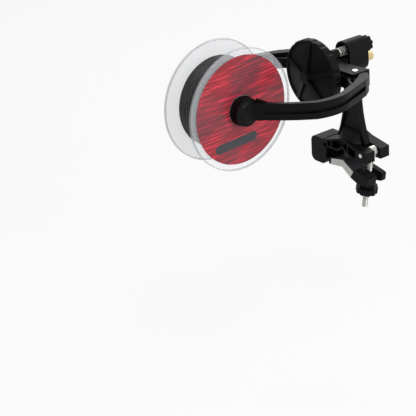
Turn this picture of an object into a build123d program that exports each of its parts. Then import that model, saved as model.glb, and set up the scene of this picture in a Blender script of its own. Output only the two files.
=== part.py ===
from build123d import *
import os
from math import cos, pi, radians, sin, sqrt, tan

# Winder that clamps on a fishing rod and holds a line spool between two cones while the line
# is wound onto a reel. A post stands on the rod clamp. Its head carries a swivelling yoke: a
# channel crossbar with two riveted arms that a large star knob closes on the spool.
# The origin lies on the axis of the gripped rod, midway along the clamp. +Y runs along the rod
# towards its tip, +Z points up to the yoke, and +X is the side of the clamp screw.
os.makedirs("parts", exist_ok=True)

# ---- driving dimensions, mm ----
# clearances
run_gap = 0.05            # radial clearance of a shaft in its bore
seat_gap = 0.3            # between pieces that move past each other
fit_gap = 0.02            # around pieces fixed in each other

# rod clamp
blank_d = 9.4             # rod that the clamp is set for
clamp_depth = 27.0        # along the rod
notch_angle = 112.0       # included angle of the beam's V
beam_depth = 8.4          # band of the beam above its V
beam_bottom = -0.6        # underside of the beam beside the V
ear_end = 28.6            # +X end of the two ears
ear_top = 8.9
ear_slot = 6.6            # gap between the ears, for the swing bolt
pin_x = 21.6              # swing pin
pin_z = 5.1
pin_d = 4.2

# lower jaw
hinge_x = -30.1
hinge_z = -2.7
hinge_pin_d = 4.0
hinge_pin_length = 18.0
knuckle_r = 7.0
knuckle_width = 10.0
jaw_back = 8.0            # back of the jaw, its pad and the hinge block
block_width = 18.8        # hinge block, along X
block_height = 23.4
block_corner = 5.6
jaw_tilt = 10.5           # slope of the jaw on a rod of blank_d
jaw_reach = 61.6          # hinge to the fork's tip, along the jaw
jaw_top = 0.9             # fork above the hinge line
fork_slot = 6.4
pad_length = 27.2
pad_ridge_reach = 30.3    # hinge to the pad's ridge, along the jaw
pad_thickness = 6.8
pad_grip_gap = 0.1

# swing bolt and its knob
screw_d = 5.0             # M5 bolt and M5 yoke rod
screw_pitch = 0.8
bolt_length = 55.0        # pin axis to the bolt's end
eye_d = 9.6
fork_radius = 26.8        # rounded underside of the fork about the swing pin
washer_t = 1.0
clamp_washer_d = 12.0
clamp_neck_d = 12.7
clamp_neck_height = 5.6
clamp_flange_d = 18.8
clamp_flange_height = 6.0
clamp_lobes = 10
insert_wall = 1.5         # threaded metal insert in a moulded knob

# post and head
post_depth = 6.0
post_web = 2.0
post_flange = 2.0
yoke_height = 80.0        # yoke axis above the rod axis
lock_rise = 11.5          # lock plunger's axis above the yoke axis
head_r = 9.0
head_crown_r = 8.5
head_front = -10.6
head_length = 21.1
head_wall = 2.2
recess_depth = 4.1
bush_d = 9.4

# crossbar
cross_y = -27.5           # line of the two arm rivets
cross_half = 38.0
cross_front = 7.3         # front edge, ahead of the rivet line
cross_back_mid = 7.0      # back edge, behind the rivet line
cross_back_end = 10.8
cross_height = 14.0
plate_t = 2.4
rivet_x = 32.6
rivet_d = 4.0
rivet_head_d = 5.2
hub_width = 11.1
hub_front = 2.1
hub_box_back = 8.8
hub_back = 17.1
hub_height = 15.8
lug_d = 8.0
lug_front = 4.0
lug_back = 9.0
socket_d = 4.6
socket_depth = 3.4

# yoke rod
rod_front = 20.4          # ahead of the rivet line
rod_back = 45.0           # behind the rivet line
nut_d = 8.0
nut_length = 9.2

# arms, set on a spool of spool_width
reach = 105.4             # rivet line to the spool's axis
arm_height = 13.8
knuckle_height = 8.6
arm_knuckle_r = 5.6
lobe_lever = 9.9          # rivet to the lobe that the knob presses, along the crossbar
lobe_front = 10.2         # lobe tip ahead of the rivet line
lobe_r = 4.0
arm_groove = 3.6
arm_groove_depth = 2.4
arm_hub_d = 22.4
arm_hub_t = 4.0

# cones
cone_d = 21.6
cone_length = 16.5
cone_ribs = 8
cone_rib_width = 1.6
cone_rib_rise = 0.7
rim_d = 23.6
rim_width = 3.0
rim_teeth = 36
cone_pin_d = 4.0
cone_pin_length = 14.0
spool_clear = 1.1         # flange face to the cone's base

# tension knob
knob_d = 60.0
knob_scallops = 22
scallop_r = 4.2
scallop_cut = 0.7
knob_rim_back = 12.0      # ahead of the rivet line
knob_rim_front = 19.1
knob_hub_front = 26.4
knob_ribs = 5
knob_rib_width = 3.8
knob_insert_length = 6.5
press_plate_d = 56.0
press_plate_t = 1.2

# lock plunger
plunger_d = 3.9
collar_d = 7.6
collar_t = 1.2
plunger_nose = 9.3        # behind the rivet line
spring_wire = 0.9
spring_d = 7.9
spring_curls = 4.5
spring_end_gap = 0.15
lock_knob_d = 13.6
lock_knob_length = 7.6
lock_lobes = 8

# spool
spool_d = 98.4
spool_width = 33.4
flange_t = 1.6
label_d = 87.6
label_t = 0.25
label_hole_d = 24.0
barrel_d = 34.0
bore_d = 22.5
line_d = 1.5
line_loops = 14
line_pitch = 2.0
winding_d = 73.2          # over the line

# ---- places that follow from them ----
blank_r = blank_d / 2
screw_r = screw_d / 2
clamp_back = clamp_depth / 2
jaw_depth = jaw_back + clamp_back
hinge_y = (jaw_back - clamp_back) / 2
notch_half = radians(notch_angle / 2)
notch_apex = blank_r / sin(notch_half) + pad_grip_gap
spool_y = cross_y - reach
lock_z = yoke_height + lock_rise
head_back = head_front + head_length
recess_floor = head_front + recess_depth
half_spool = spool_width / 2
inner_face = half_spool - flange_t
cone_base = half_spool + spool_clear
arm_face = cone_base + rim_width + seat_gap


def facing_front(y_back):
    """Sketch plane with X right and Z up, whose extrusions run forward from y_back."""
    return Plane.XZ.offset(-y_back)


def facing_right(x_left):
    """Sketch plane across the spool's axis, whose extrusions run towards +X."""
    return Plane(origin=(x_left, spool_y, yoke_height), x_dir=(0, 1, 0), z_dir=(1, 0, 0))


def biarc(p0, t0, p1, t1):
    """Two arcs that leave p0 along t0, arrive at p1 along t1 and share a tangent between."""
    v = p1 - p0
    t = t0 + t1
    a = 2 * (1 - t0.dot(t1))
    b = v.dot(t)
    d = (-b + sqrt(b * b + a * v.dot(v))) / a if a > 1e-9 else v.dot(v) / (4 * v.dot(t1))
    q0 = p0 + t0 * d
    q1 = p1 - t1 * d
    joint = (q0 + q1) / 2
    return [TangentArc(p0, joint, tangent=t0), TangentArc(joint, p1, tangent=q1 - q0)]


def helix_tube(name, centre, axis, first, radius, wire, pitch, turns, lead):
    """One tube wound about axis, starting towards first, with straight ends of length lead."""
    side = axis.cross(first)
    half_turns = round(turns * 2)

    def place(k):
        angle = k * pi
        return centre + first * (radius * cos(angle)) + side * (radius * sin(angle)) \
            + axis * (pitch * k / 2)

    def heading(k):
        angle = k * pi
        run = side * cos(angle) - first * sin(angle)
        return (run * (2 * pi * radius) + axis * pitch).normalized()

    edges = [Line(place(0) - heading(0) * lead, place(0))]
    for k in range(half_turns):
        edges += biarc(place(k), heading(k), place(k + 1), heading(k + 1))
    edges += [Line(place(half_turns), place(half_turns) + heading(half_turns) * lead)]
    with BuildPart() as tube:
        with BuildLine() as path:
            add(edges)
        start = Plane(origin=place(0) - heading(0) * lead, z_dir=heading(0))
        with BuildSketch(start):
            Circle(wire / 2)
        sweep(path=path.wire())
    samples = [edge.position_at(s / 12) for edge in edges for s in range(12)]
    turn = 12 * 4
    gaps = [
        (samples[i] - samples[j]).length - wire
        for i in range(0, len(samples), 5)
        for j in range(i + turn // 2, min(i + 2 * turn, len(samples)))
    ]
    print(f"{name}: least gap to itself {min(gaps):.2f} mm")
    return tube.part


# ---- post frame: head, post, V beam, hinge block and ears in one moulding ----
ear_front = ear_slot / 2
notch_foot = (notch_apex - beam_bottom) * tan(notch_half)
left_bottom = 1.5
left_foot = (notch_apex - left_bottom) * tan(notch_half)
crown = notch_apex + beam_depth
block_centre = (hinge_x + 0.2, hinge_z - 1.0)
block_right = block_centre[0] + block_width / 2
pin_pocket = knuckle_r + 0.4

with BuildPart() as post_frame:
    # beam with the V notch
    with BuildSketch(facing_front(clamp_back)):
        with BuildLine():
            Polyline(
                (block_right - 2, 7.8),
                (-14, 10.4),
                (-3, crown),
                (3, crown),
                (14, ear_top + 0.6),
                (pin_x - 4, ear_top),
                (pin_x - 4, beam_bottom),
                (notch_foot, beam_bottom),
                (0, notch_apex),
                (-left_foot, left_bottom),
                (block_right - 2, left_bottom),
                close=True,
            )
        make_face()
    extrude(amount=clamp_depth)
    # hinge block
    with BuildSketch(facing_front(jaw_back)):
        with Locations(block_centre):
            RectangleRounded(block_width, block_height, block_corner)
    extrude(amount=jaw_depth)
    # ears beside the swing bolt, the back one rising to the post
    for ear_back, rise in ((clamp_back, 3.6), (-ear_front, 0.6)):
        with BuildSketch(facing_front(ear_back)):
            with BuildLine():
                Polyline(
                    (pin_x - 12.6, beam_bottom),
                    (ear_end, beam_bottom),
                    (ear_end, ear_top),
                    (pin_x - 12.6, ear_top + rise),
                    (0, crown + rise / 2),
                    (0, crown - 2),
                    close=True,
                )
            make_face()
        extrude(amount=clamp_back - ear_front)
    # post, flared at the foot
    with BuildSketch(facing_front(post_depth / 2)):
        with BuildLine():
            right_side = Spline(
                (17.0, notch_apex + 5),
                (13.6, notch_apex + 14),
                (10.2, notch_apex + 27),
                (8.2, notch_apex + 42),
                (7.0, yoke_height - 5),
            )
            Line(right_side @ 1, (-7.0, yoke_height - 5))
            mirror(right_side, about=Plane.YZ)
            Line((-17.0, notch_apex + 5), right_side @ 0)
        make_face()
    extrude(amount=post_depth)
    # head around the yoke axis and the lock axis
    with BuildSketch(facing_front(head_back)):
        with Locations((0, yoke_height)):
            Circle(head_r)
        with Locations((0, lock_z)):
            Circle(head_crown_r)
        with BuildLine():
            Polyline(
                (-head_r, yoke_height),
                (head_r, yoke_height),
                (head_crown_r, lock_z),
                (-head_crown_r, lock_z),
                close=True,
            )
        make_face()
    extrude(amount=head_length)
    # recess in the front of the post, and two beside a centre rib in its back
    pocket_depth = (post_depth - post_web) / 2
    for face_y, half_rib in ((-post_web / 2, 0.0), (post_depth / 2, 0.9)):
        for side in (1, -1):
            with BuildSketch(facing_front(face_y)):
                with BuildLine():
                    outer = Spline(
                        (side * (17.0 - 2 * post_flange), crown + 1),
                        (side * (13.6 - post_flange), notch_apex + 15),
                        (side * (10.2 - post_flange), notch_apex + 27),
                        (side * (8.2 - post_flange), notch_apex + 42),
                        (side * (7.1 - post_flange), yoke_height - head_r - 3),
                    )
                    Polyline(
                        outer @ 1,
                        (side * half_rib, yoke_height - head_r - 1),
                        (side * half_rib, crown + 1),
                        outer @ 0,
                    )
                make_face()
            extrude(amount=pocket_depth, mode=Mode.SUBTRACT)
    # slope from the post's web down to the beam's front edge
    with BuildSketch(facing_front(-post_web / 2)):
        with BuildLine():
            Polyline((-13.4, 9.0), (-11.4, 21.0), (11.4, 21.0), (13.4, 9.0), close=True)
        make_face()
    with BuildSketch(facing_front(0.6 - clamp_back)):
        with BuildLine():
            Polyline((-11.0, 8.0), (-3.0, crown - 0.6), (3.0, crown - 0.6), (11.0, 8.0), close=True)
        make_face()
    loft(ruled=True)
    # hollow front of the head, and its two bores
    with BuildSketch(facing_front(recess_floor)):
        with Locations((0, yoke_height)):
            Circle(head_r - head_wall)
        with Locations((0, lock_z)):
            Circle(head_crown_r - head_wall)
        with BuildLine():
            Polyline(
                (head_wall - head_r, yoke_height),
                (head_r - head_wall, yoke_height),
                (head_crown_r - head_wall, lock_z),
                (head_wall - head_crown_r, lock_z),
                close=True,
            )
        make_face()
    extrude(amount=recess_depth, mode=Mode.SUBTRACT)
    with BuildSketch(facing_front(head_back)):
        with Locations((0, yoke_height)):
            Circle(bush_d / 2 + fit_gap)
        with Locations((0, lock_z)):
            Circle(plunger_d / 2 + run_gap)
    extrude(amount=head_length, mode=Mode.SUBTRACT)
    # cored cells of the beam, front and back
    for face_y in (clamp_back, 5.0 - clamp_back):
        with BuildSketch(facing_front(face_y)):
            with BuildLine():
                Polyline((-18.6, 3.2), (-18.6, 7.4), (-14.4, 8.6), (-14.4, 3.2), close=True)
            make_face()
            with BuildLine():
                Polyline(
                    (-13.0, 3.2),
                    (-13.0, 9.0),
                    (-8.4, 10.6),
                    (-2.6, crown - 1.8),
                    (2.6, crown - 1.8),
                    (5.6, crown - 3.0),
                    (5.6, notch_apex - 1.6),
                    (0, notch_apex + 2.1),
                    (-7.2, 3.2),
                    close=True,
                )
            make_face()
            with BuildLine():
                Polyline(
                    (7.0, crown - 3.8),
                    (7.0, notch_apex - 2.6),
                    (11.2, 1.2),
                    (15.6, 1.2),
                    (15.6, ear_top - 1.4),
                    (12.6, ear_top - 0.8),
                    close=True,
                )
            make_face()
        extrude(amount=5.0, mode=Mode.SUBTRACT)
    # slot for the jaw's knuckle, open below and towards the rod
    with BuildSketch(facing_front(hinge_y + knuckle_width / 2 + seat_gap)):
        with Locations((hinge_x, hinge_z)):
            Circle(pin_pocket)
        with BuildLine():
            Polyline(
                (hinge_x - pin_pocket, hinge_z),
                (hinge_x, hinge_z + pin_pocket - 1.6),
                (block_right + 3, hinge_z + pin_pocket - 3.4),
                (block_right + 3, hinge_z - 16),
                (hinge_x - pin_pocket, hinge_z - 16),
                close=True,
            )
        make_face()
    extrude(amount=knuckle_width + 2 * seat_gap, mode=Mode.SUBTRACT)
    # ribbed round core in the back of the hinge block, and a small one in front
    with BuildSketch(facing_front(jaw_back)):
        with Locations((hinge_x, hinge_z)):
            Circle(knuckle_r + 0.6)
            Circle(2.6, mode=Mode.SUBTRACT)
            with PolarLocations(0, 8):
                Rectangle(2 * knuckle_r + 4, 0.9, mode=Mode.SUBTRACT)
    extrude(amount=2.4, mode=Mode.SUBTRACT)
    with BuildSketch(facing_front(4.0 - clamp_back)):
        with Locations((block_right - 1.4, left_bottom + 1.4)):
            Circle(1.9)
    extrude(amount=4.0, mode=Mode.SUBTRACT)
    # pin holes
    with BuildSketch(facing_front(clamp_back)):
        with Locations((pin_x, pin_z)):
            Circle(pin_d / 2 + fit_gap)
    extrude(amount=clamp_depth, mode=Mode.SUBTRACT)
    with BuildSketch(facing_front(hinge_y + hinge_pin_length / 2)):
        with Locations((hinge_x, hinge_z)):
            Circle(hinge_pin_d / 2 + fit_gap)
    extrude(amount=hinge_pin_length, mode=Mode.SUBTRACT)
    # room for the bolt's eye between the ears
    with BuildSketch(facing_front(ear_front)):
        with Locations((pin_x, pin_z)):
            Circle(eye_d / 2 + seat_gap)
            with Locations((eye_d, 0)):
                Rectangle(2 * eye_d, 60)
    extrude(amount=ear_slot, mode=Mode.SUBTRACT)
post_frame.part.label = "post_frame"
export_step(post_frame.part, "parts/post_frame.step")

# ---- pins and the head's bush ----
with BuildPart() as head_bush:
    with BuildSketch(facing_front(head_back)):
        with Locations((0, yoke_height)):
            Circle(bush_d / 2)
            Circle(screw_r + run_gap, mode=Mode.SUBTRACT)
    extrude(amount=head_back - (cross_y + hub_back) - seat_gap)
head_bush.part.label = "head_bush"
export_step(head_bush.part, "parts/head_bush.step")

with BuildPart() as jaw_hinge_pin:
    with BuildSketch(facing_front(hinge_y + hinge_pin_length / 2)):
        with Locations((hinge_x, hinge_z)):
            Circle(hinge_pin_d / 2)
    extrude(amount=hinge_pin_length)
jaw_hinge_pin.part.label = "jaw_hinge_pin"
export_step(jaw_hinge_pin.part, "parts/jaw_hinge_pin.step")

with BuildPart() as swing_pin:
    with BuildSketch(facing_front(clamp_back)):
        with Locations((pin_x, pin_z)):
            Circle(pin_d / 2)
    extrude(amount=clamp_depth)
    chamfer(swing_pin.edges().filter_by(GeomType.CIRCLE), 0.4)
swing_pin.part.label = "swing_pin"
export_step(swing_pin.part, "parts/swing_pin.step")

# ---- lower jaw and its pad, drawn along the jaw and tilted to the rod ----
tilt = radians(jaw_tilt)


def jaw_plane(y_back):
    """Sketch plane with its origin on the jaw hinge and X along the tilted jaw."""
    return Plane(
        origin=(hinge_x, y_back, hinge_z),
        x_dir=(cos(tilt), 0, -sin(tilt)),
        z_dir=(0, -1, 0),
    )


blank_u = -hinge_x * cos(tilt) + hinge_z * sin(tilt)
blank_v = -hinge_x * sin(tilt) - hinge_z * cos(tilt)
pin_u = (pin_x - hinge_x) * cos(tilt) - (pin_z - hinge_z) * sin(tilt)
pin_v = (pin_x - hinge_x) * sin(tilt) + (pin_z - hinge_z) * cos(tilt)
ridge_off = pad_ridge_reach - blank_u
ridge_v = blank_v - sqrt(blank_r ** 2 - ridge_off ** 2) - pad_grip_gap
pad_left = pad_ridge_reach - pad_length / 2
pad_right = pad_ridge_reach + pad_length / 2
pad_end_top = ridge_v - 5.0
pad_end_foot = pad_end_top - pad_thickness
spine_width = 12.0
spine_t = 3.0


def fork_under(u):
    """Point of the fork's rounded underside."""
    return (u, pin_v - sqrt(fork_radius ** 2 - (u - pin_u) ** 2))


with BuildPart() as lower_jaw:
    # knuckle and the neck out of the hinge block
    with BuildSketch(jaw_plane(hinge_y + knuckle_width / 2)):
        Circle(knuckle_r)
        with BuildLine():
            Polyline(
                (0, 1.0),
                (pad_left - 1.0, 0.2),
                (pad_left - 1.0, -6.4),
                (0, -6.4),
                close=True,
            )
        make_face()
    extrude(amount=knuckle_width)
    # spine that carries the pad
    with BuildSketch(jaw_plane(hinge_y + spine_width / 2)):
        with BuildLine():
            Polyline(
                (pad_left - 2.0, pad_end_top - 0.6),
                (pad_ridge_reach, ridge_v - 1.9),
                (pad_right + 2.0, pad_end_top - 0.6),
                (pad_right + 2.0, pad_end_top - 0.6 - spine_t),
                (pad_ridge_reach, ridge_v - 1.9 - spine_t),
                (pad_left - 2.0, pad_end_top - 0.6 - spine_t),
                close=True,
            )
        make_face()
    extrude(amount=spine_width)
    # flat end plate behind the pad's left end
    with BuildSketch(jaw_plane(jaw_back)):
        with BuildLine():
            Polyline(
                (pad_left - 2.4, pad_end_top + 0.2),
                (pad_left - fit_gap, pad_end_top + 0.2),
                (pad_left - fit_gap, pad_end_foot + 0.6),
                (pad_left - 2.4, pad_end_foot + 0.6),
                close=True,
            )
        make_face()
    extrude(amount=jaw_depth)
    # fork, with its underside rounded about the swing pin
    with BuildSketch(jaw_plane(jaw_back)):
        with BuildLine():
            left_edge = ThreePointArc(
                (pad_right + fit_gap, pad_end_top),
                (pad_right - 1.5, (pad_end_top + pad_end_foot) / 2),
                (pad_right - 2.4 + fit_gap, pad_end_foot),
            )
            underside = ThreePointArc(
                (pin_u, pin_v - fork_radius),
                fork_under((pin_u + jaw_reach) / 2),
                fork_under(jaw_reach),
            )
            Line(left_edge @ 1, underside @ 0)
            Polyline(
                underside @ 1,
                (jaw_reach, jaw_top - 1.2),
                (jaw_reach - 2.0, jaw_top - 0.2),
                (pad_right + 1.6, jaw_top),
                left_edge @ 0,
            )
        make_face()
    extrude(amount=jaw_depth)
    # slot for the bolt, open at the tip
    with BuildSketch(jaw_plane(fork_slot / 2)):
        with Locations((jaw_reach, 0)):
            Rectangle(2 * (jaw_reach - pin_u) + 2 * fork_slot - 2.0, 60)
    extrude(amount=fork_slot, mode=Mode.SUBTRACT)
    with BuildSketch(jaw_plane(jaw_back)):
        Circle(hinge_pin_d / 2 + run_gap)
    extrude(amount=jaw_depth, mode=Mode.SUBTRACT)
lower_jaw.part.label = "lower_jaw"
export_step(lower_jaw.part, "parts/lower_jaw.step")

with BuildPart() as jaw_pad:
    with BuildSketch(jaw_plane(jaw_back)):
        with BuildLine():
            right_end = ThreePointArc(
                (pad_right, pad_end_top),
                (pad_right - 1.5 - fit_gap, (pad_end_top + pad_end_foot) / 2),
                (pad_right - 2.4, pad_end_foot),
            )
            Polyline(
                right_end @ 1,
                (pad_ridge_reach, ridge_v - pad_thickness),
                (pad_left, pad_end_foot + 0.8),
                (pad_left, pad_end_top),
                (pad_ridge_reach, ridge_v),
                right_end @ 0,
            )
        make_face()
    extrude(amount=jaw_depth)
    # tunnel for the jaw's spine
    with BuildSketch(jaw_plane(hinge_y + spine_width / 2 + run_gap)):
        with BuildLine():
            Polyline(
                (pad_left - 2.0, pad_end_top - 0.6 + run_gap),
                (pad_ridge_reach, ridge_v - 1.9 + run_gap),
                (pad_right + 2.0, pad_end_top - 0.6 + run_gap),
                (pad_right + 2.0, pad_end_top - 0.6 - spine_t - run_gap),
                (pad_ridge_reach, ridge_v - 1.9 - spine_t - run_gap),
                (pad_left - 2.0, pad_end_top - 0.6 - spine_t - run_gap),
                close=True,
            )
        make_face()
    extrude(amount=spine_width + 2 * run_gap, mode=Mode.SUBTRACT)
jaw_pad.part.label = "jaw_pad"
export_step(jaw_pad.part, "parts/jaw_pad.step")

# ---- swing bolt, washer and clamp knob, square to the jaw ----
bolt_dir = Vector(-sin(tilt), 0, -cos(tilt))
pin_centre = Vector(pin_x, 0, pin_z)


def bolt_plane(distance):
    """Sketch plane across the bolt, at a distance from the swing pin towards the bolt's end."""
    return Plane(origin=pin_centre + bolt_dir * distance, x_dir=(0, 1, 0), z_dir=bolt_dir)


washer_at = fork_radius + seat_gap
neck_at = washer_at + washer_t + seat_gap / 2
flange_at = neck_at + clamp_neck_height
knob_end = flange_at + clamp_flange_height
insert_r = screw_r + insert_wall

with BuildPart() as swing_bolt:
    with BuildSketch(facing_front(ear_front - seat_gap)):
        with Locations((pin_x, pin_z)):
            Circle(eye_d / 2)
    extrude(amount=ear_slot - 2 * seat_gap)
    with BuildSketch(bolt_plane(0)):
        Circle(screw_r)
    extrude(amount=bolt_length)
    chamfer(swing_bolt.faces().sort_by(Axis.Z)[0].edges(), 0.6)
    with BuildSketch(facing_front(ear_front)):
        with Locations((pin_x, pin_z)):
            Circle(pin_d / 2 + run_gap)
    extrude(amount=ear_slot, mode=Mode.SUBTRACT)
swing_bolt.part.label = "swing_bolt"
export_step(swing_bolt.part, "parts/swing_bolt.step")

with BuildPart() as clamp_washer:
    with BuildSketch(bolt_plane(washer_at)):
        Circle(clamp_washer_d / 2)
        Circle(screw_r + run_gap, mode=Mode.SUBTRACT)
    extrude(amount=washer_t)
clamp_washer.part.label = "clamp_washer"
export_step(clamp_washer.part, "parts/clamp_washer.step")

with BuildPart() as clamp_knob:
    with BuildSketch(bolt_plane(neck_at)):
        Circle(clamp_neck_d / 2)
    extrude(amount=clamp_neck_height)
    with BuildSketch(bolt_plane(flange_at)):
        Circle(clamp_flange_d / 2)
        with PolarLocations(clamp_flange_d / 2 + 1.1, clamp_lobes):
            Circle(2.0, mode=Mode.SUBTRACT)
    extrude(amount=clamp_flange_height)
    chamfer(clamp_knob.faces().sort_by(Axis.Z)[0].outer_wire().edges(), 0.6)
    with BuildSketch(bolt_plane(neck_at)):
        Circle(insert_r + fit_gap)
    extrude(amount=knob_end - neck_at, mode=Mode.SUBTRACT)
clamp_knob.part.label = "clamp_knob"
export_step(clamp_knob.part, "parts/clamp_knob.step")

with BuildPart() as clamp_knob_insert:
    with BuildSketch(bolt_plane(neck_at)):
        Circle(insert_r)
        Circle(screw_r + run_gap, mode=Mode.SUBTRACT)
    extrude(amount=knob_end - neck_at)
clamp_knob_insert.part.label = "clamp_knob_insert"
export_step(clamp_knob_insert.part, "parts/clamp_knob_insert.step")

# ---- crossbar: two plates, a curved back wall and a centre block ----
plate_z = cross_height / 2 - plate_t
back_y = cross_y + cross_back_end
mid_back_y = cross_y + cross_back_mid


def crossbar_outline(back_inset):
    """Outline of the crossbar seen from above, its curved back moved forward by back_inset."""
    with BuildLine() as outline:
        back = ThreePointArc(
            (cross_half, back_y - back_inset),
            (0, mid_back_y - back_inset),
            (-cross_half, back_y - back_inset),
        )
        Polyline(
            back @ 1,
            (-cross_half, cross_y - cross_front + 1.5),
            (-cross_half + 1.5, cross_y - cross_front),
            (cross_half - 1.5, cross_y - cross_front),
            (cross_half, cross_y - cross_front + 1.5),
            back @ 0,
        )
    return outline.line


with BuildPart() as crossbar:
    with BuildSketch(Plane.XY.offset(yoke_height - cross_height / 2)):
        with BuildLine():
            add(crossbar_outline(0))
        make_face()
    extrude(amount=cross_height)
    # channel for the arms, open in front and at the ends
    channel = Plane.XY.offset(yoke_height - plate_z)
    with BuildSketch(channel):
        with BuildLine():
            inner_back = ThreePointArc(
                (cross_half + 1, back_y - plate_t),
                (0, mid_back_y - plate_t),
                (-cross_half - 1, back_y - plate_t),
            )
            Polyline(
                inner_back @ 1,
                (-cross_half - 1, cross_y - cross_front - 1),
                (cross_half + 1, cross_y - cross_front - 1),
                inner_back @ 0,
            )
        make_face()
        with Locations((0, cross_y)):
            Rectangle(2 * (hub_width / 2 + 2.4), 60, mode=Mode.SUBTRACT)
    extrude(amount=2 * plate_z, mode=Mode.SUBTRACT)
    # notch for the hub, bore for the rod
    with BuildSketch(Plane.XY.offset(yoke_height - cross_height)):
        with Locations((0, cross_y + hub_front + 20)):
            Rectangle(hub_width + 2 * fit_gap, 40)
    extrude(amount=2 * cross_height, mode=Mode.SUBTRACT)
    with BuildSketch(facing_front(cross_y + 30)):
        with Locations((0, yoke_height)):
            Circle(screw_r + fit_gap)
        with Locations((lock_rise, yoke_height), (-lock_rise, yoke_height)):
            Circle(socket_d / 2)
    extrude(amount=60, mode=Mode.SUBTRACT)
    with BuildSketch(Plane.XY.offset(yoke_height - cross_height)):
        with Locations((rivet_x, cross_y), (-rivet_x, cross_y)):
            Circle(rivet_d / 2 + fit_gap)
    extrude(amount=2 * cross_height, mode=Mode.SUBTRACT)
crossbar.part.label = "crossbar"
export_step(crossbar.part, "parts/crossbar.step")

with BuildPart() as hub_block:
    with BuildSketch(facing_front(cross_y + hub_box_back)):
        with Locations((0, yoke_height)):
            RectangleRounded(hub_width, hub_height, 2.0)
    extrude(amount=hub_box_back - hub_front)
    with BuildSketch(facing_front(cross_y + hub_back)):
        with Locations((0, yoke_height)):
            Circle(hub_width / 2)
    extrude(amount=hub_back - hub_box_back)
    chamfer(hub_block.faces().sort_by(Axis.Y)[-1].edges(), 0.8)
    # index lug above the rod, with its socket
    with BuildSketch(facing_front(cross_y + lug_back)):
        with Locations((0, lock_z)):
            Circle(lug_d / 2)
        with Locations((0, (yoke_height + lock_z) / 2)):
            Rectangle(lug_d - 1.6, lock_rise)
    extrude(amount=lug_back - lug_front)
    with BuildSketch(facing_front(cross_y + lug_back)):
        with Locations((0, lock_z)):
            Circle(socket_d / 2)
    extrude(amount=socket_depth, mode=Mode.SUBTRACT)
    with BuildSketch(facing_front(cross_y + 30)):
        with Locations((0, yoke_height)):
            Circle(screw_r + fit_gap)
    extrude(amount=60, mode=Mode.SUBTRACT)
hub_block.part.label = "hub_block"
export_step(hub_block.part, "parts/hub_block.step")

# ---- yoke rod with its washer and nut behind the head ----
rod_washer_back = head_back + seat_gap + washer_t

with BuildPart() as yoke_rod:
    with BuildSketch(facing_front(cross_y + rod_back)):
        with Locations((0, yoke_height)):
            Circle(screw_r)
    extrude(amount=rod_front + rod_back)
    chamfer(yoke_rod.edges().filter_by(GeomType.CIRCLE), 0.5)
yoke_rod.part.label = "yoke_rod"
export_step(yoke_rod.part, "parts/yoke_rod.step")

with BuildPart() as rod_washer:
    with BuildSketch(facing_front(rod_washer_back)):
        with Locations((0, yoke_height)):
            Circle(nut_d / 2)
            Circle(screw_r + fit_gap, mode=Mode.SUBTRACT)
    extrude(amount=washer_t)
rod_washer.part.label = "rod_washer"
export_step(rod_washer.part, "parts/rod_washer.step")

with BuildPart() as rod_nut:
    nut_back = rod_washer_back + nut_length
    with BuildSketch(facing_front(nut_back)):
        with Locations((0, yoke_height)):
            Circle(nut_d / 2)
            with PolarLocations(nut_d / 2 + 0.25, 20):
                Circle(0.5, mode=Mode.SUBTRACT)
    extrude(amount=nut_length)
    with BuildSketch(facing_front(cross_y + rod_back + 0.4)):
        with Locations((0, yoke_height)):
            Circle(screw_r + fit_gap)
    extrude(amount=nut_length, mode=Mode.SUBTRACT)
rod_nut.part.label = "rod_nut"
export_step(rod_nut.part, "parts/rod_nut.step")

# ---- pivot rivets ----
rivet_half = cross_height / 2


def pivot_rivet(x):
    """Rivet through both plates, with a low head on each."""
    with BuildPart() as rivet:
        with BuildSketch(Plane.XY.offset(yoke_height - rivet_half)):
            with Locations((x, cross_y)):
                Circle(rivet_d / 2)
        extrude(amount=2 * rivet_half)
        for z in (yoke_height + rivet_half, yoke_height - rivet_half - 0.8):
            with BuildSketch(Plane.XY.offset(z)):
                with Locations((x, cross_y)):
                    Circle(rivet_head_d / 2)
            extrude(amount=0.8)
        chamfer(rivet.faces().sort_by(Axis.Z)[-1].edges(), 0.3)
        chamfer(rivet.faces().sort_by(Axis.Z)[0].edges(), 0.3)
    return rivet.part


pivot_rivet_right = pivot_rivet(rivet_x)
pivot_rivet_right.label = "pivot_rivet_right"
export_step(pivot_rivet_right, "parts/pivot_rivet_right.step")
pivot_rivet_left = pivot_rivet(-rivet_x)
pivot_rivet_left.label = "pivot_rivet_left"
export_step(pivot_rivet_left, "parts/pivot_rivet_left.step")

# ---- arms: right one drawn, left one mirrored ----
hub_x = arm_face + arm_hub_t
arm_z = arm_height / 2


def arm_point(x, ahead):
    """Point of the arm seen from above, ahead of the rivet line."""
    return (x, cross_y - ahead)


elbow_out = [arm_point(61.8, 32.0), arm_point(65.2, 51.5), arm_point(61.4, 67.0)]
elbow_in = [arm_point(56.6, 34.0), arm_point(60.2, 51.2), arm_point(57.4, 65.2)]

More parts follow.
